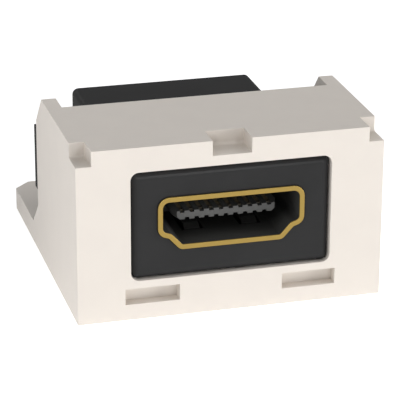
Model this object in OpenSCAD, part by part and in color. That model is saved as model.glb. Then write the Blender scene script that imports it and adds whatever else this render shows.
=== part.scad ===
// Video coupler module for a modular wall plate.
// A moulded housing snaps into the plate and carries a coupler body with a port at each end.
// The front face is at the smallest y, the flat underside is at z = 0 and x runs across the width.
// The origin is under the middle of the module, on the surface that it stands on.

/* [Housing] */
// Width across the two side walls
housing_w = 31.35; // [26.15:0.05:42]
// Depth from the front face to the back of the base plate
housing_d = 33.95; // [28.3:0.05:46]
// Height of the front face under the window
band_below = 4.1; // [3.4:0.05:5.5]
// Height of the front face over the window
band_above = 2.6; // [2.2:0.05:4]
// Thickness of each side wall
side_t = 1.56; // [1.3:0.01:2]
// Thickness of the front wall
front_t = 2.2; // [1.8:0.1:2.8]
// Thickness of the top wall
top_t = 2.2; // [1.8:0.1:2.6]
// Thickness of the base plate
base_t = 2.42; // [1.8:0.01:3.2]
// Depth of the top wall, from the front face
top_d = 13.5; // [8:0.1:17]
// Depth of the side walls at half height
side_d = 19.4; // [16.3:0.1:23.6]
// Depth of the bevel on the top rear corner of each side wall
side_bevel_d = 3; // [1:0.1:4]
// Height of that bevel
side_bevel_h = 3.2; // [1:0.1:5]
// Length by which the foot of each side wall runs out along the base plate
side_foot_run = 3; // [1:0.1:4]
// Height at which the rear edge of each side wall starts to slope to its foot
side_foot_h = 5.3; // [4:0.1:7]
// Size of the bevel across each rear corner of the base plate
base_bevel = 1.68; // [0.5:0.01:4]

/* [Underside] */
// Depth of the two moulding cores in the underside
core_depth = 0.9; // [0.4:0.1:1.2]
// Width of the rim and of the web that the cores leave standing
core_rim = 3.2; // [2:0.1:5]

/* [Wall plate keys] */
// Height of the three notches in the top front edge
notch_h = 1.55; // [0.8:0.01:1.8]
// Depth of the three notches, from the front face
notch_d = 2.95; // [2.4:0.01:5]
// Width of the notch at each corner
corner_notch_w = 1.56; // [1:0.01:3]
// Width of the notch in the middle
centre_notch_w = 3.98; // [2:0.01:8]
// Radius between the floor and the back of a notch
notch_r = 0.3; // [0.1:0.05:0.7]
// Width of each pocket in the foot of the front face
pocket_w = 5.54; // [3:0.02:7]
// Height of each pocket
pocket_h = 1.65; // [1:0.01:2]
// Depth of each pocket
pocket_d = 1.2; // [0.8:0.1:1.7]
// Height of the pockets' floor above the underside
pocket_z = 1.64; // [1.1:0.01:1.8]
// Distance of each pocket from the side of the housing
pocket_side = 4.84; // [2:0.01:7]

/* [Window] */
// Corner radius of the window
window_r = 0.85; // [0.3:0.05:1.5]
// Width of the ribs that lead the coupler body to the window
rib_w = 1.6; // [1:0.1:3]

/* [Coupler body] */
// Distance from the port's shell to each side of the rear block
coupler_side = 2.46; // [2:0.01:3.5]
// Distance from the port's shell to the top and to the bottom of the rear block
coupler_top = 2.39; // [2:0.01:3.5]
// Step from each side of the rear block out to the side of the window
nose_side = 0.28; // [0.2:0.02:0.6]
// Step from the top and the bottom of the rear block out to the edge of the window
nose_top = 0.52; // [0.2:0.02:0.8]
// Radius along the long edges of the rear block
coupler_r = 0.65; // [0.2:0.05:1]
// Distance of the coupler's front face behind the front face of the housing
face_setback = 0.2; // [0.05:0.05:0.6]
// Rounding round the edge of the coupler's front face
face_edge_r = 0.85; // [0.2:0.05:0.9]
// Wall thickness of the coupler body
coupler_wall = 1; // [0.8:0.05:1.2]
// Thickness of the coupler's front wall
coupler_front_t = 1.6; // [1.2:0.1:2.2]
// Inner corner radius of the coupler body
cavity_r = 0.3; // [0.1:0.05:0.6]
// Thickness of the shoulder that stops the coupler behind the front wall
shoulder_t = 1.6; // [1:0.1:2.4]
// Clearance of the coupler body in the window and between the side walls
body_gap = 0.08; // [0.05:0.01:0.15]
// Clearance of the coupler body above the floor of the window, on which it rests
rest_gap = 0.02; // [0.01:0.01:0.05]
// Clearance between faces that rest against each other
seat_gap = 0.03; // [0.02:0.01:0.1]

/* [Release arms] */
// Thickness of each release arm
arm_t = 1.1; // [0.8:0.05:1.4]
// Height of each release arm
arm_h = 7.2; // [6:0.1:9]
// Distance of the finger pads behind the feet of the side walls
pad_gap = 0.6; // [0.3:0.1:1.5]
// Height by which the finger pad stands out from its arm
pad_step = 0.22; // [0.05:0.01:0.4]
// Height by which the barb stands out from its arm
barb_h = 0.65; // [0.3:0.05:0.8]
// Length of the barb
barb_len = 2.8; // [1.5:0.1:4]
// Flat length along the barb's crest
barb_land = 0.3; // [0.1:0.1:0.8]
// Distance of the barb's rear face from the front face of the housing
barb_end = 14.4; // [10:0.1:16]
// Height of the barb along the arm's edge
barb_w = 4.4; // [2:0.1:5.4]
// Clearance of the barb in its catch
catch_gap = 0.1; // [0.05:0.05:0.2]

/* [Port] */
// Clear width of the port
port_w = 14; // [11.6:0.1:16.8]
// Clear height of the port
port_h = 4.55; // [3.8:0.05:5.5]
// Distance of the edge of the port's floor in from the port's side
port_floor_in = 1.97; // [1.6:0.01:2.4]
// Distance of the knee of each slope in from the port's side
port_knee_in = 0.88; // [0.73:0.01:1.1]
// Height of the knees above the port's floor
port_knee_h = 1.2; // [1:0.05:1.45]
// Height by which each slope rises from its knee to the port's side
port_shoulder_rise = 0.275; // [0.22:0.005:0.4]
// Thickness of the port's shell
port_wall = 0.51; // [0.41:0.01:0.6]
// Distance by which the shell's rim stands out of the coupler body
port_proud = 0.2; // [0:0.05:0.2]
// Inner radius of the port's top corners
port_top_r = 0.65; // [0.2:0.05:1]
// Inner radius of the port's side corners
port_side_r = 0.5; // [0.2:0.05:0.6]
// Inner radius of the port's knees
port_knee_r = 0.3; // [0.1:0.05:0.4]
// Inner radius of the port's floor corners
port_floor_r = 0.3; // [0.1:0.05:0.5]
// Length of the shell from its rim to its back edge
port_d = 11; // [9.1:0.1:13.2]
// Width of the shell's retention springs
spring_w = 1.6; // [1:0.1:2]
// Length of the shell's retention springs
spring_len = 4.6; // [3:0.1:5.6]
// Length of the slope at a spring's free end
spring_tip = 0.8; // [0.5:0.1:1.2]
// Length of the flat with which a spring touches a plug
spring_flat = 0.5; // [0.3:0.1:1]
// Distance of each spring from the middle of the port
spring_x = 3; // [2.2:0.1:3.6]
// Distance of the springs' fixed ends in front of the insulator's base
spring_back = 0.2; // [0.1:0.05:0.6]
// Width of the slot that frees each spring
spring_slot = 0.3; // [0.15:0.05:0.4]
// Thickness of the spring leaves
spring_t = 0.28; // [0.15:0.01:0.4]
// Height by which a spring bulges into the port
spring_bulge = 0.34; // [0.1:0.02:0.5]
// Length of the solder tabs behind the shell
tab_len = 2.2; // [1.2:0.1:2.6]
// Height of the solder tabs
tab_h = 1.2; // [0.9:0.1:1.4]

/* [Insulator and contacts] */
// Number of contacts in the upper row
upper_contacts = 10; // [6:1:12]
// Spacing of the contacts in a row
contact_pitch = 1; // [0.8:0.05:1.2]
// Width of a contact
contact_w = 0.4; // [0.3:0.02:0.48]
// Thickness of a contact
contact_t = 0.15; // [0.11:0.02:0.19]
// Clearance of a contact in its groove
contact_gap = 0.025; // [0.015:0.005:0.04]
// Thickness of the tongue
tongue_t = 0.9; // [0.7:0.05:1.1]
// Height of the tongue's middle above the middle of the port
tongue_z = -0.05; // [-0.2:0.05:0.4]
// Distance of the tongue's tip behind the rim
tongue_setback = 2.15; // [1.5:0.05:2.5]
// Plain margin at the tip between the outermost contact and the tongue's side
tongue_margin = 0.35; // [0.2:0.05:0.5]
// Bevel along the lower edges of the tongue
tongue_bevel = 0.3; // [0.05:0.05:0.35]
// Width that the tongue gains on each side behind its tip
tongue_taper = 0.35; // [0.05:0.05:0.5]
// Length over which the tongue gains this width
tongue_taper_d = 1.1; // [0.5:0.1:2]
// Distance of the contacts' tips behind the tongue's tip
contact_setback = 0.5; // [0.2:0.05:1]
// Thickness of the insulator's base inside the shell
insulator_base_t = 2.2; // [1.5:0.1:2.6]

/* [Circuit board and rear cover] */
// Length of the circuit board from port to port
board_len = 5.1; // [4:0.1:8]
// Thickness of the circuit board
board_t = 0.8; // [0.6:0.1:1]
// Distance of the board behind each insulator
board_inset = 0.6; // [0.5:0.05:0.8]
// Straight lead of a contact before and after its step
step_lead = 0.12; // [0.05:0.01:0.15]
// Length of a contact's foot on the board
foot_len = 1.3; // [0.8:0.1:1.5]
// Width of the rails that hold the board's edges
rail_w = 0.75; // [0.5:0.05:0.8]
// Thickness of each rail
rail_t = 0.6; // [0.4:0.05:1]
// Thickness of the rear cover
cover_t = 2; // [1.4:0.1:2.4]
// Width of the ledge that the rear cover sits on
cover_ledge = 0.4; // [0.3:0.05:0.5]

/* [Hidden] */
SIDES = ["front", "rear"];
lower_contacts = upper_contacts - 1;
contact_count = upper_contacts + lower_contacts;
function contact_name(side, number) = str(side, "_contact_", number < 10 ? "0" : "", number);
CONTACT_NODES = [for (side = SIDES) for (number = [1:contact_count]) contact_name(side, number)];
BODY_NODES = ["housing", "coupler_body", "rear_cover", "circuit_board"];
PORT_NODES = ["front_port_shell", "rear_port_shell", "front_insulator", "rear_insulator"];

WHITE = [0.95, 0.92, 0.88];
BLACK = [0.16, 0.16, 0.16];
GOLD = [0.78, 0.63, 0.28];
GREY = [0.38, 0.38, 0.37];
GREEN = [0.10, 0.32, 0.18];

arc_steps = 6;
cut = 1;

// The port sets the size of the coupler body, which sets the window and the height of the housing.
coupler_w = port_w + 2 * port_wall + 2 * coupler_side;
coupler_h = port_h + 2 * port_wall + 2 * coupler_top;
window_w = coupler_w + 2 * nose_side;
window_h = coupler_h + 2 * nose_top;
window_z = band_below + window_h / 2;
window_top = band_below + window_h;
housing_h = window_top + band_above;
inner_w = housing_w - 2 * side_t;
mid_wall = (housing_w - side_t) / 2;
notch_z = housing_h - notch_h;
side_foot_d = side_d + side_foot_run;

// The two ports and the board between them set the length of the coupler body.
front_rim = face_setback - port_proud;
board_start = port_d + board_inset;
rear_rim = front_rim + 2 * board_start + board_len;
coupler_end = rear_rim - port_proud;
cavity_w = coupler_w - 2 * coupler_wall;
cavity_h = coupler_h - 2 * coupler_wall;
cavity_front = face_setback + coupler_front_t;
board_z = window_z + tongue_z;
rib_x = coupler_w / 4;

shoulder_front = front_t + seat_gap;
shoulder_back = shoulder_front + shoulder_t;
arm_z = band_below;
arm_outer = inner_w / 2 - body_gap;
arm_inner = arm_outer - arm_t;
pad_outer = arm_outer + pad_step;
pad_start = side_foot_d + pad_gap;
barb_z = arm_z + (arm_h - barb_w) / 2;

spring_root = port_d - insulator_base_t - spring_back;
tip_w = (upper_contacts - 1) * contact_pitch + contact_w + 2 * tongue_margin;
tongue_w = tip_w + 2 * tongue_taper;
groove_w = contact_w + 2 * contact_gap;
groove_h = contact_t + 2 * contact_gap;
contact_z = tongue_t / 2 - groove_h / 2;
foot_z = board_t / 2 + contact_gap + contact_t / 2;

// Outlines: a corner list with a radius for each corner becomes one closed polygon.
function unit(v) = v / norm(v);
function bearing(v) = atan2(v.y, v.x);
function short_turn(a, b) = (b - a + 900) % 360 - 180;
function on_circle(centre, r, angle) = centre + r * [cos(angle), sin(angle)];
function arc_points(centre, from, to, r) = let (
    start = bearing(from - centre),
    sweep = short_turn(start, bearing(to - centre))
) [for (i = [0:arc_steps]) on_circle(centre, r, start + sweep * i / arc_steps)];
function rounded_corner(before, corner, after, r) = r <= 0 ? [corner] : let (
    a = unit(before - corner),
    b = unit(after - corner),
    half_angle = acos(a * b) / 2,
    reach = r / tan(half_angle)
) arc_points(corner + unit(a + b) * r / sin(half_angle), corner + a * reach, corner + b * reach, r);
function rounded(corners, radii) = let (n = len(corners)) [
    for (i = [0:n - 1])
        each rounded_corner(corners[(i + n - 1) % n], corners[i], corners[(i + 1) % n], radii[i])
];

// The same outline grown outwards by a distance, corners listed anticlockwise.
function right_normal(a, b) = let (d = unit(b - a)) [d.y, -d.x];
function grown(corners, distance) = let (n = len(corners)) [
    for (i = [0:n - 1]) let (
        n1 = right_normal(corners[(i + n - 1) % n], corners[i]),
        n2 = right_normal(corners[i], corners[(i + 1) % n])
    ) corners[i] + (n1 + n2) * distance / (1 + n1 * n2)
];

// A strip of even thickness along a bent centre line, as stamped and folded sheet.
function bend_offset(points, i) = let (
    last = len(points) - 1,
    n1 = right_normal(points[max(i - 1, 0)], points[max(i, 1)]),
    n2 = right_normal(points[min(i, last - 1)], points[min(i + 1, last)])
) (n1 + n2) / (1 + n1 * n2);
function strip(points, t) = let (last = len(points) - 1) concat(
    [for (i = [0:last]) points[i] + bend_offset(points, i) * t / 2],
    [for (i = [last:-1:0]) points[i] - bend_offset(points, i) * t / 2]
);

function rectangle(w, h) = [[-w / 2, -h / 2], [w / 2, -h / 2], [w / 2, h / 2], [-w / 2, h / 2]];
function rounded_rectangle(w, h, r) = rounded(rectangle(w, h), [r, r, r, r]);

// The port's inner outline: flat top, straight sides, and a sloping foot on each side.
PORT_HALF = [
    [port_w / 2 - port_floor_in, -port_h / 2],
    [port_w / 2 - port_knee_in, -port_h / 2 + port_knee_h],
    [port_w / 2, -port_h / 2 + port_knee_h + port_shoulder_rise],
    [port_w / 2, port_h / 2]
];
PORT_CORNERS = concat(PORT_HALF, [for (i = [3:-1:0]) [-PORT_HALF[i].x, PORT_HALF[i].y]]);
function port_outline(growth) = let (
    knee_r = port_wall + port_knee_r - growth,
    half = [port_floor_r + growth, knee_r, port_side_r + growth, port_top_r + growth]
) rounded(grown(PORT_CORNERS, growth), concat(half, [half[3], half[2], half[1], half[0]]));

module from_front() {
    translate([0, -housing_d / 2, 0]) children();
}

module both_sides() {
    children();
    mirror([1, 0, 0]) children();
}

// Extrudes an outline drawn in x and z between two distances from the front.
module along_y(start, end) {
    translate([0, end, 0]) rotate([90, 0, 0]) linear_extrude(end - start) children();
}

// Extrudes a profile drawn in y and z between two places across the width.
module along_x(start, end) {
    translate([start, 0, 0]) rotate([90, 0, 90]) linear_extrude(end - start) children();
}

module block(low, high) {
    translate(low) cube(high - low);
}

// Housing

module side_wall() {
    along_x(inner_w / 2, housing_w / 2)
        polygon([
            [0, 0],
            [side_foot_d, 0],
            [side_foot_d, base_t],
            [side_d, side_foot_h],
            [side_d, housing_h - side_bevel_h],
            [side_d - side_bevel_d, housing_h],
            [0, housing_h]
        ]);
}

module base_plate() {
    half_w = housing_w / 2;
    linear_extrude(base_t)
        polygon([
            [-half_w, 0],
            [half_w, 0],
            [half_w, housing_d - base_bevel],
            [half_w - base_bevel, housing_d],
            [-half_w + base_bevel, housing_d],
            [-half_w, housing_d - base_bevel]
        ]);
}

// Two ribs on the floor and two under the top wall lead the coupler's nose into the window.
module guide_ribs() {
    low = band_below - body_gap;
    high = window_top + body_gap;
    both_sides() {
        block([rib_x - rib_w / 2, front_t / 2, base_t / 2], [rib_x + rib_w / 2, side_d, low]);
        block([rib_x - rib_w / 2, front_t / 2, high], [rib_x + rib_w / 2, top_d, housing_h - top_t / 2]);
    }
}

module window_cut() {
    translate([0, 0, window_z])
        along_y(-cut, front_t + cut)
            polygon(rounded_rectangle(window_w, window_h, window_r));
}

module notch_cut(centre, width) {
    profile = rounded(
        [[-cut, notch_z], [notch_d, notch_z], [notch_d, housing_h + cut], [-cut, housing_h + cut]],
        [0, notch_r, 0, 0]
    );
    along_x(centre - width / 2, centre + width / 2) polygon(profile);
}

module pocket_cut() {
    outer = housing_w / 2 - pocket_side;
    block([outer - pocket_w, -cut, pocket_z], [outer, pocket_d, pocket_z + pocket_h]);
}

// Blind catch in the inner face of a side wall, where the arm's barb snaps in.
module catch_cut() {
    block(
        [inner_w / 2 - cut, barb_end - barb_len - catch_gap, barb_z - catch_gap],
        [arm_outer + barb_h + catch_gap, barb_end + catch_gap, barb_z + barb_w + catch_gap]
    );
}

module core_cut() {
    block(
        [core_rim / 2, core_rim + pocket_d, -cut],
        [housing_w / 2 - core_rim, housing_d - core_rim, core_depth]
    );
}

module housing() {
    color(WHITE) from_front() difference() {
        union() {
            base_plate();
            both_sides() side_wall();
            block([-mid_wall, 0, base_t / 2], [mid_wall, front_t, housing_h]);
            block([-mid_wall, 0, housing_h - top_t], [mid_wall, top_d, housing_h]);
            guide_ribs();
        }
        window_cut();
        notch_cut(0, centre_notch_w);
        both_sides() {
            notch_cut(housing_w / 2 - corner_notch_w / 2 + cut / 2, corner_notch_w + cut);
            pocket_cut();
            catch_cut();
            core_cut();
        }
    }
}

// Coupler body

// The part of the body that fills the window and rests on its floor, with its front edges rounded over.
module coupler_nose() {
    w = window_w - 2 * body_gap;
    h = window_h - 2 * body_gap;
    middle = band_below + rest_gap + h / 2;
    mid_y = (face_setback + shoulder_back) / 2;
    depth = shoulder_back - face_setback;
    intersection() {
        translate([0, 0, middle])
            along_y(face_setback, shoulder_back)
                polygon(rounded_rectangle(w, h, window_r));
        translate([0, mid_y, middle - h])
            linear_extrude(2 * h)
                polygon(rounded(rectangle(w, depth), [face_edge_r, face_edge_r, 0, 0]));
        translate([0, mid_y, middle])
            along_x(-w, w)
                polygon(rounded(rectangle(depth, h), [face_edge_r, 0, 0, face_edge_r]));
    }
}

// The arm's barb snaps outwards into the catch, and pressing the pads together frees it.
module release_arm() {
    barb_profile = [
        [arm_inner, shoulder_front],
        [arm_outer, shoulder_front],
        [arm_outer, barb_end - barb_len],
        [arm_outer + barb_h, barb_end - barb_land],
        [arm_outer + barb_h, barb_end],
        [arm_outer, barb_end]
    ];
    block([arm_inner, shoulder_front, arm_z], [arm_outer, coupler_end, arm_z + arm_h]);
    block([arm_inner, pad_start, arm_z], [pad_outer, coupler_end, arm_z + arm_h]);
    translate([0, 0, barb_z]) linear_extrude(barb_w) polygon(barb_profile);
}

module board_rails() {
    both_sides() for (level = [-1, 1]) {
        middle = board_z + level * (board_t / 2 + seat_gap + rail_t / 2);
        block(
            [cavity_w / 2 - rail_w, front_rim + port_d, middle - rail_t / 2],
            [cavity_w / 2 + coupler_wall / 2, coupler_end - cover_t - seat_gap, middle + rail_t / 2]
        );
    }
}

module coupler_cavity() {
    translate([0, 0, window_z]) {
        along_y(cavity_front, coupler_end + cut) polygon(rounded_rectangle(cavity_w, cavity_h, cavity_r));
        along_y(coupler_end - cover_t - seat_gap, coupler_end + cut)
            polygon(rounded_rectangle(cavity_w + 2 * cover_ledge, cavity_h + 2 * cover_ledge, cavity_r));
        along_y(-cut, cavity_front + cut) polygon(port_outline(port_wall + seat_gap));
    }
}

module coupler_body() {
    color(BLACK) from_front() {
        difference() {
            union() {
                coupler_nose();
                translate([0, 0, window_z])
                    along_y(shoulder_front, coupler_end)
                        polygon(rounded_rectangle(coupler_w, coupler_h, coupler_r));
                block([-arm_outer, shoulder_front, arm_z], [arm_outer, shoulder_back, arm_z + arm_h]);
                both_sides() release_arm();
            }
            coupler_cavity();
        }
        board_rails();
    }
}

module rear_cover() {
    w = cavity_w + 2 * cover_ledge - 2 * seat_gap;
    h = cavity_h + 2 * cover_ledge - 2 * seat_gap;
    color(BLACK) from_front() translate([0, 0, window_z]) difference() {
        along_y(coupler_end - cover_t, coupler_end) polygon(rounded_rectangle(w, h, cavity_r));
        along_y(coupler_end - cover_t - cut, coupler_end + cut) polygon(port_outline(port_wall + seat_gap));
    }
}

// Circuit board

module circuit_board() {
    w = cavity_w - 2 * seat_gap;
    tab_room = [port_wall + 2 * seat_gap, tab_len - board_inset + seat_gap];
    start = front_rim + board_start;
    color(GREEN) from_front() difference() {
        block([-w / 2, start, board_z - board_t / 2], [w / 2, start + board_len, board_z + board_t / 2]);
        both_sides() for (y = [start - cut, start + board_len - tab_room.y])
            block(
                [port_w / 2 - seat_gap, y, board_z - board_t],
                [port_w / 2 - seat_gap + tab_room.x, y + tab_room.y + cut, board_z + board_t]
            );
    }
}

// Ports: each is drawn with its rim at y = 0 and its middle at z = 0, and set at one end of the body.

module at_port(side) {
    rear = side == "rear";
    from_front()
        translate([0, rear ? rear_rim : front_rim, window_z])
            rotate([0, 0, rear ? 180 : 0])
                children();
}

// A spring leaf is fixed at its rear end and bulges into the port near its front.
module port_spring() {
    tip = spring_root - spring_len;
    level = port_h / 2 + spring_t / 2;
    path = [
        [spring_root + spring_slot, level],
        [spring_root, level],
        [tip + spring_tip + spring_flat, level - spring_bulge],
        [tip + spring_tip, level - spring_bulge],
        [tip, level]
    ];
    along_x(spring_x - spring_w / 2, spring_x + spring_w / 2) polygon(strip(path, spring_t));
}

module spring_window() {
    half = spring_w / 2 + spring_slot;
    block(
        [spring_x - half, spring_root - spring_len - spring_slot, port_h / 2 - cut],
        [spring_x + half, spring_root, port_h / 2 + port_wall + cut]
    );
}

module solder_tab() {
    block(
        [port_w / 2, port_d - cut, tongue_z - tab_h / 2],
        [port_w / 2 + port_wall, port_d + tab_len, tongue_z + tab_h / 2]
    );
}

module port_shell(side) {
    color(GOLD) at_port(side) {
        difference() {
            along_y(0, port_d) polygon(port_outline(port_wall));
            along_y(-cut, port_d + cut) polygon(port_outline(0));
            both_sides() {
                spring_window();
                mirror([0, 0, 1]) spring_window();
            }
        }
        both_sides() {
            port_spring();
            mirror([0, 0, 1]) port_spring();
            solder_tab();
        }
    }
}

function contact_x(number) = number <= upper_contacts
    ? (number - 1 - (upper_contacts - 1) / 2) * contact_pitch
    : (number - upper_contacts - 1 - (lower_contacts - 1) / 2) * contact_pitch;
function contact_level(number) = number <= upper_contacts ? 1 : -1;

module contact_groove(number) {
    level = contact_level(number);
    middle = tongue_z + level * contact_z;
    open = middle + level * groove_h / 2;
    x = contact_x(number);
    block(
        [x - groove_w / 2, tongue_setback - cut, middle - groove_h / 2],
        [x + groove_w / 2, port_d + cut, middle + groove_h / 2]
    );
    translate([x - groove_w / 2, tongue_setback - cut, min(open, open + level * contact_gap)])
        cube([groove_w, port_d - insulator_base_t - tongue_setback + cut, contact_gap]);
}

// The tongue's section from a place left of its middle to its right side, bevelled underneath.
function tongue_section(left, right) = let (
    low = tongue_z - tongue_t / 2,
    high = tongue_z + tongue_t / 2
) [[left, low], [right - tongue_bevel, low], [right, low + tongue_bevel], [right, high], [left, high]];

// One half of the tongue: its side runs outwards from the tip, and then straight back.
module tongue_half() {
    overlap = tip_w / 4;
    intersection() {
        along_y(tongue_setback, port_d) polygon(tongue_section(-overlap, tongue_w / 2));
        translate([tip_w / 2, tongue_setback, 0])
            rotate([0, 0, -atan2(tongue_taper, tongue_taper_d)])
                along_y(-tip_w, 2 * port_d) polygon(tongue_section(-2 * tip_w, 0));
    }
}

module insulator(side) {
    color(GREY) at_port(side) difference() {
        union() {
            both_sides() tongue_half();
            along_y(port_d - insulator_base_t, port_d) polygon(port_outline(-seat_gap));
        }
        for (number = [1:contact_count]) contact_groove(number);
    }
}

module turned_over(over) {
    mirror([0, 0, over ? 1 : 0]) children();
}

// A contact lies in its groove, passes the insulator's base and steps out onto the board.
module contact(side, number) {
    path = [
        [tongue_setback + contact_setback, contact_z],
        [port_d + step_lead, contact_z],
        [board_start - step_lead, foot_z],
        [board_start + foot_len, foot_z]
    ];
    x = contact_x(number);
    color(GOLD) at_port(side)
        translate([0, 0, tongue_z])
            turned_over(contact_level(number) < 0)
                along_x(x - contact_w / 2, x + contact_w / 2) polygon(strip(path, contact_t));
}

housing();
coupler_body();
rear_cover();
circuit_board();
for (side = SIDES) port_shell(side);
for (side = SIDES) insulator(side);
for (side = SIDES, number = [1:contact_count])
    contact(side, number);
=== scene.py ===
# Video coupler module for a wall plate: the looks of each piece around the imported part.
# Lengths are in metres, and the front face of the module is at the smallest y.
from math import cos, radians, sin

import bpy
from mathutils import Matrix, Vector


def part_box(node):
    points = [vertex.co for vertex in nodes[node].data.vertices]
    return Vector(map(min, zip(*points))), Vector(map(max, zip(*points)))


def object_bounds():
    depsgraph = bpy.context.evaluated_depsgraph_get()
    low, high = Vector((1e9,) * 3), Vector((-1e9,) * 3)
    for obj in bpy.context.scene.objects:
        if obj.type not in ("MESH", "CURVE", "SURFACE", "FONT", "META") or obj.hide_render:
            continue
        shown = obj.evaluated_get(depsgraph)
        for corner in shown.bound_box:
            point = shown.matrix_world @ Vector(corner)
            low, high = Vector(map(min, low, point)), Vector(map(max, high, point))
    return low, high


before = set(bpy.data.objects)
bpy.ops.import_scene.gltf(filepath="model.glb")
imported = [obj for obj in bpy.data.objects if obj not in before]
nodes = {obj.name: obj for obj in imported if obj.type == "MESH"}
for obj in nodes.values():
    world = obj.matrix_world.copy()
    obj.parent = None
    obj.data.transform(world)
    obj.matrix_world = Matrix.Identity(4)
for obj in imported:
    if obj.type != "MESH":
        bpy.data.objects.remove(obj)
cad_low, cad_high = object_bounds()

# Camera
# It stands in front of the module, to its left and above it, with a long lens.
# The photo is square, so the sensor's width serves both sides.
MM = 0.001
view_yaw = radians(15.31)
view_pitch = radians(21.524)
view_roll = radians(0.236)
sensor_width = 36
view_lens = 197.78
camera_place = Vector((-56.093, -209.922, 90.957)) * MM
nearest_seen = 10 * MM
farthest_seen = 10

forward = Vector((
    sin(view_yaw) * cos(view_pitch),
    cos(view_yaw) * cos(view_pitch),
    -sin(view_pitch),
))
level_right = Vector((cos(view_yaw), -sin(view_yaw), 0))
level_up = level_right.cross(forward)
right = cos(view_roll) * level_right + sin(view_roll) * level_up
up = cos(view_roll) * level_up - sin(view_roll) * level_right
turn = Matrix((right, up, -forward)).transposed().to_4x4()
camera = bpy.data.objects.new("camera", bpy.data.cameras.new("camera"))
camera.matrix_world = Matrix.Translation(camera_place) @ turn
camera.data.sensor_width = sensor_width
camera.data.lens = view_lens
camera.data.clip_start = nearest_seen
camera.data.clip_end = farthest_seen
bpy.context.scene.collection.objects.link(camera)
bpy.context.scene.camera = camera
bpy.context.scene.view_settings.view_transform = "Standard"


# Floor, sky and lamps
# The module stands on a pale light table, which glows most in front of it and keeps its shadow.
# Softboxes light its sides, top and back from above, and low lamps its front, right and back.
class Wire:
    """An output socket of a finish, so that shader maths reads as Python expressions."""

    def __init__(self, finish, socket):
        self.finish = finish
        self.socket = socket

    def out(self, name):
        """Another output of the same node."""
        return Wire(self.finish, self.socket.node.outputs[name])

    def maths(self, operation, *values):
        return self.finish.add("ShaderNodeMath", {"operation": operation}, dict(enumerate(values)))

    def __add__(self, other):
        return self.maths("ADD", self, other)

    def __radd__(self, other):
        return self.maths("ADD", other, self)

    def __sub__(self, other):
        return self.maths("SUBTRACT", self, other)

    def __rsub__(self, other):
        return self.maths("SUBTRACT", other, self)

    def __mul__(self, other):
        return self.maths("MULTIPLY", self, other)

    def __rmul__(self, other):
        return self.maths("MULTIPLY", other, self)

    def __truediv__(self, other):
        return self.maths("DIVIDE", self, other)

    def __lt__(self, other):
        return self.maths("LESS_THAN", self, other)

    def at_least(self, other):
        return self.maths("MAXIMUM", self, other)

    def at_most(self, other):
        return self.maths("MINIMUM", self, other)

    def ramp(self, start, end):
        """Rises from 0 to 1 as the value goes from start to end."""
        return ((self - start) / (end - start)).at_least(0).at_most(1)


class Finish:
    """The node tree of a material or of the sky."""

    def __init__(self, owner):
        self.owner = owner
        owner.use_nodes = True
        self.tree = owner.node_tree
        self.tree.nodes.clear()

    def add(self, kind, settings=None, inputs=None, output=0):
        """Adds a node: its settings first, then the values or wires of its sockets."""
        node = self.tree.nodes.new(kind)
        for name, value in (settings or {}).items():
            setattr(node, name, value)
        for name, value in (inputs or {}).items():
            if isinstance(value, Wire):
                self.tree.links.new(value.socket, node.inputs[name])
            else:
                node.inputs[name].default_value = value
        return Wire(self, node.outputs[output]) if node.outputs else None

    def place(self):
        """Where a point lies on the piece, in metres."""
        return self.add("ShaderNodeTexCoord").out("Object")

    def coordinate(self, axis):
        """The X, Y or Z of that place."""
        return self.add("ShaderNodeSeparateXYZ", inputs={0: self.place()}).out(axis)

    def seen_directly(self):
        """1 for rays from the camera, off glossy surfaces and through clear ones."""
        path = self.add("ShaderNodeLightPath")
        rays = path.out("Is Camera Ray") + path.out("Is Glossy Ray") + path.out("Is Transmission Ray")
        return rays.at_most(1)

    def light(self, strength):
        """White light from the surface itself."""
        return self.add("ShaderNodeEmission", inputs={"Strength": strength})

    def blend(self, factor, first, second):
        """Mixes two shaders."""
        return self.add("ShaderNodeMixShader", inputs={0: factor, 1: first, 2: second})

    def show(self, surface, kind="ShaderNodeOutputMaterial"):
        """Makes a shader the surface of the material or of the sky."""
        self.add(kind, inputs={"Surface": surface})


floor_size = 6
floor_grey = (0.80, 0.80, 0.80, 1)
floor_seen = 0.70
rear_floor_light = 0.15
front_floor_light = 1.09
under_light = 0.4
sky_white = (1, 1, 1, 1)
sky_seen = 1
sky_light = 0.02
lamp_distance = 0.8
# Name, azimuth and elevation in degrees, diameter in metres and power in watts
# The catch light is the small one, which draws a line on the nose of the coupler body.
lamps = (
    ("front_lamp", -12, 15, 0.25, 0.34),
    ("catch_light", 15, 22, 0.1, 0.42),
    ("left_softbox", -61, 39, 0.5, 2.0),
    ("right_softbox", 75, 43, 0.5, 1.8),
    ("right_lamp", 66, 5, 0.3, 3.1),
    ("rear_softbox", 188, 45, 0.5, 1.08),
    ("rear_lamp", 188, 8, 0.3, 0.6),
)

bpy.ops.object.select_all(action="DESELECT")
bpy.ops.mesh.primitive_plane_add(size=floor_size)
floor = bpy.context.active_object
floor.name = "floor"

# The floor's own glow looks even, but it lights the module most from in front.
# Under the module it is even, and dim enough for the underside not to be too bright.
paper = Finish(bpy.data.materials.new("pale_floor"))
across = paper.coordinate("X")
along = paper.coordinate("Y")
forwards = along.ramp(cad_high.y, cad_low.y)
table = paper.blend(forwards, paper.light(rear_floor_light), paper.light(front_floor_light))
under = (across * across < cad_high.x ** 2) * (along * along < cad_high.y ** 2)
table = paper.blend(under, table, paper.light(under_light))
glow = paper.blend(paper.seen_directly(), table, paper.light(floor_seen))
matt = paper.add("ShaderNodeBsdfDiffuse", inputs={"Color": floor_grey})
top_side = paper.add("ShaderNodeAddShader", inputs={0: matt, 1: glow})
from_below = paper.add("ShaderNodeNewGeometry").out("Backfacing")
paper.show(paper.blend(from_below, top_side, paper.add("ShaderNodeBsdfTransparent")))
floor.data.materials.append(paper.owner)

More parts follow.
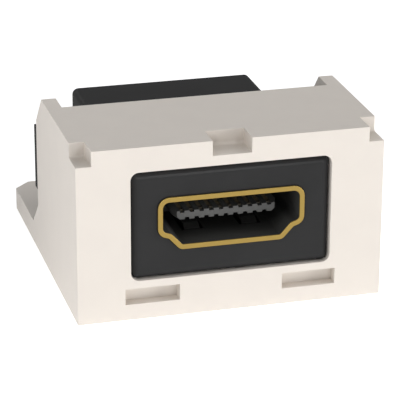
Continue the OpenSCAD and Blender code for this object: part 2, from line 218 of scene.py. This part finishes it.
sky = Finish(bpy.data.worlds.new("sky"))
dim = sky.add("ShaderNodeBackground", inputs={"Color": sky_white, "Strength": sky_light})
white = sky.add("ShaderNodeBackground", inputs={"Color": sky_white, "Strength": sky_seen})
sky.show(sky.blend(sky.seen_directly(), dim, white), "ShaderNodeOutputWorld")
bpy.context.scene.world = sky.owner

for name, azimuth, elevation, size, power in lamps:
    lamp = bpy.data.objects.new(name, bpy.data.lights.new(name, "AREA"))
    lamp.data.shape = "DISK"
    lamp.data.size = size
    lamp.data.energy = power
    level = cos(radians(elevation))
    towards_lamp = Vector((
        sin(radians(azimuth)) * level,
        -cos(radians(azimuth)) * level,
        sin(radians(elevation)),
    ))
    lamp.location = (cad_low + cad_high) / 2 + towards_lamp * lamp_distance
    lamp.rotation_euler = towards_lamp.to_track_quat("Z", "Y").to_euler()
    bpy.context.scene.collection.objects.link(lamp)

# Housing
# An injection-moulded shell in off-white plastic, with a fine matt grain from its mould.
# It is one piece with the base plate, the side walls and the keyed notches for the wall plate.
weld_distance = 0.001 * MM
flat_angle = radians(0.5)
sharp_angle = radians(30)
edge_segments = 2
housing_edge = 0.04 * MM

housing_white = (0.725, 0.672, 0.615, 1)
housing_shade = (0.715, 0.662, 0.607, 1)
housing_cloud_range = (0.4, 0.6)
housing_roughness = 0.46
cloud_size = 3 * MM
cloud_detail = 3
grain_size = 0.12 * MM
grain_detail = 2
grain_depth = 0.004 * MM
grain_strength = 0.6
grain_roughness = 0.1


def rounded_edges(piece, width):
    """Joins the loose triangles of a CAD node and rounds its sharp edges, without changing its mesh."""
    weld = piece.modifiers.new("weld", "WELD")
    weld.merge_threshold = weld_distance
    flat = piece.modifiers.new("flat", "DECIMATE")
    flat.decimate_type = "DISSOLVE"
    flat.angle_limit = flat_angle
    bevel = piece.modifiers.new("edges", "BEVEL")
    bevel.width = width
    bevel.segments = edge_segments
    bevel.limit_method = "ANGLE"
    bevel.angle_limit = sharp_angle
    bevel.use_clamp_overlap = False
    bevel.harden_normals = True


def paint(piece, finish):
    """Puts one finish on every face of a piece."""
    piece.data.materials.clear()
    piece.data.materials.append(finish.owner)


def noise(finish, size, detail):
    """Random spots of about the size given, from 0 to 1."""
    sockets = {"Vector": finish.place(), "Scale": 1 / size, "Detail": detail}
    return finish.add("ShaderNodeTexNoise", inputs=sockets)


def mix(factor, first, second):
    """Mixes two colours, by a factor that changes over the piece."""
    sockets = {"Factor": factor, "A": first, "B": second}
    return factor.finish.add("ShaderNodeMix", {"data_type": "RGBA"}, sockets, "Result")


def moulding(finish, roughness, depth, strength, sockets):
    """Shows a plastic with the grain of its mould, which changes its gloss and stands out a little."""
    grain = noise(finish, grain_size, grain_detail)
    relief = {"Height": grain, "Distance": depth, "Strength": strength}
    finish.show(finish.add("ShaderNodeBsdfPrincipled", inputs={
        "Roughness": roughness + grain_roughness * grain,
        "Normal": finish.add("ShaderNodeBump", inputs=relief),
        **sockets,
    }))


ivory = Finish(bpy.data.materials.new("ivory_moulding"))
clouds = noise(ivory, cloud_size, cloud_detail).ramp(*housing_cloud_range)
moulding(ivory, housing_roughness, grain_depth, grain_strength, {
    "Base Color": mix(clouds, housing_white, housing_shade),
    "Specular IOR Level": 0.35,
})
paint(nodes["housing"], ivory)
rounded_edges(nodes["housing"], housing_edge)

# Coupler body and rear cover
# Both are moulded in black plastic with a satin face, a little glossier than the housing.
# The release arms are one piece with the body, and the cover closes it round the rear port.
black_face = (0.031, 0.031, 0.0315, 1)
black_shade = (0.033, 0.033, 0.0335, 1)
black_cloud_range = (0.35, 0.65)
black_roughness = 0.5
black_edge = 0.06 * MM

black = Finish(bpy.data.materials.new("black_moulding"))
clouds = noise(black, cloud_size, cloud_detail).ramp(*black_cloud_range)
moulding(black, black_roughness, grain_depth, grain_strength, {
    "Base Color": mix(clouds, black_face, black_shade),
    "Specular IOR Level": 0,
    "Coat Weight": 0.09,
    "Coat Roughness": 0.2,
})
for name in ("coupler_body", "rear_cover"):
    paint(nodes[name], black)
    rounded_edges(nodes[name], black_edge)

# Port shells
# Each is stamped from thin sheet, folded round the port and plated in gold on its rim.
# Behind the rim the walls are dark with painted shade, darkest deep inside the port.
# The two dark wall colours are painted shade, the second one for deeper in.
gold_rim = (0.365, 0.252, 0.072, 1)
wall_painted_shade = (0.046, 0.046, 0.044, 1)
deep_painted_shade = (0.032, 0.032, 0.031, 1)
rim_depth = 0.12 * MM
wall_start = 0.18 * MM
deep_shade_start = 1.6 * MM
deep_shade_end = 3.6 * MM
rim_roughness = 0.32
wall_roughness = 0.3
brush_size = 0.3 * MM
brush_detail = 3
brush_roughness = 0.12
rim_edge = 0.05 * MM

front_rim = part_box("front_port_shell")[0].y
rear_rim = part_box("rear_port_shell")[1].y
gold = Finish(bpy.data.materials.new("gold_rim"))
along = gold.coordinate("Y")
behind_rim = (along - front_rim).at_most(rear_rim - along)
# Behind the rim the gold gives way to painted shade, which gets darker deeper inside.
painted_shade_mask = behind_rim.ramp(rim_depth, wall_start)
painted_shade_inside = mix(behind_rim.ramp(deep_shade_start, deep_shade_end), wall_painted_shade, deep_painted_shade)
brushed = noise(gold, brush_size, brush_detail)
gold.show(gold.add("ShaderNodeBsdfPrincipled", inputs={
    "Base Color": mix(painted_shade_mask, gold_rim, painted_shade_inside),
    "Metallic": 1 - painted_shade_mask,
    "Roughness": rim_roughness + brush_roughness * brushed + wall_roughness * painted_shade_mask,
    "Specular IOR Level": 0.1,
}))
for name in ("front_port_shell", "rear_port_shell"):
    paint(nodes[name], gold)
    rounded_edges(nodes[name], rim_edge)

# Insulators
# Each is moulded in grey plastic, as a base that closes its shell and a tongue with grooves.
# The contacts are pressed into the grooves, one in each.
tongue_grey = (0.115, 0.115, 0.112, 1)
tongue_roughness = 0.5
tongue_grain_depth = 0.003 * MM
tongue_grain_strength = 0.5
tongue_edge = 0.02 * MM

grey = Finish(bpy.data.materials.new("grey_moulding"))
moulding(grey, tongue_roughness, tongue_grain_depth, tongue_grain_strength, {
    "Base Color": tongue_grey,
    "Specular IOR Level": 0.25,
})
for name in ("front_insulator", "rear_insulator"):
    paint(nodes[name], grey)
    rounded_edges(nodes[name], tongue_edge)

# Contacts
# Each is a stamped and folded strip of spring bronze with a thin gold plating, with painted shade on
# its folded end.
# Ten lie on the top of each tongue and nine under it, and their feet are on the circuit board.
# The dark end colour is painted shade on the front end of each contact.
painted_shade_end = (0.085, 0.072, 0.05, 1)
contact_gold = (0.3, 0.24, 0.15, 1)
painted_shade_until = 0.25 * MM
gold_from = 0.8 * MM
contact_roughness = 0.45
scuff_size = 0.2 * MM
scuff_detail = 3
scuff_roughness = 0.15

front_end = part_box("front_contact_01")[0].y
rear_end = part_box("rear_contact_01")[1].y
plated = Finish(bpy.data.materials.new("contact_plating"))
along = plated.coordinate("Y")
behind_end = (along - front_end).at_most(rear_end - along)
scuffs = noise(plated, scuff_size, scuff_detail)
plated.show(plated.add("ShaderNodeBsdfPrincipled", inputs={
    # Painted shade darkens each contact towards its front end.
    "Base Color": mix(behind_end.ramp(painted_shade_until, gold_from), painted_shade_end, contact_gold),
    "Metallic": 0.3,
    "Roughness": contact_roughness + scuff_roughness * scuffs,
}))
for name in nodes:
    if "_contact_" in name:
        paint(nodes[name], plated)

# Circuit board
# A small board of glass laminate under a green solder mask, closed in by the coupler body.
# It joins each front contact to the rear one.
mask_green = (0.02, 0.12, 0.05, 1)
mask_thin = (0.03, 0.16, 0.07, 1)
weave_range = (0.4, 0.6)
weave_size = 0.4 * MM
weave_detail = 2
weave_roughness = 0.1
board_roughness = 0.35

board = Finish(bpy.data.materials.new("solder_mask"))
weave = noise(board, weave_size, weave_detail)
board.show(board.add("ShaderNodeBsdfPrincipled", inputs={
    "Base Color": mix(weave.ramp(*weave_range), mask_green, mask_thin),
    "Roughness": board_roughness + weave_roughness * weave,
}))
paint(nodes["circuit_board"], board)
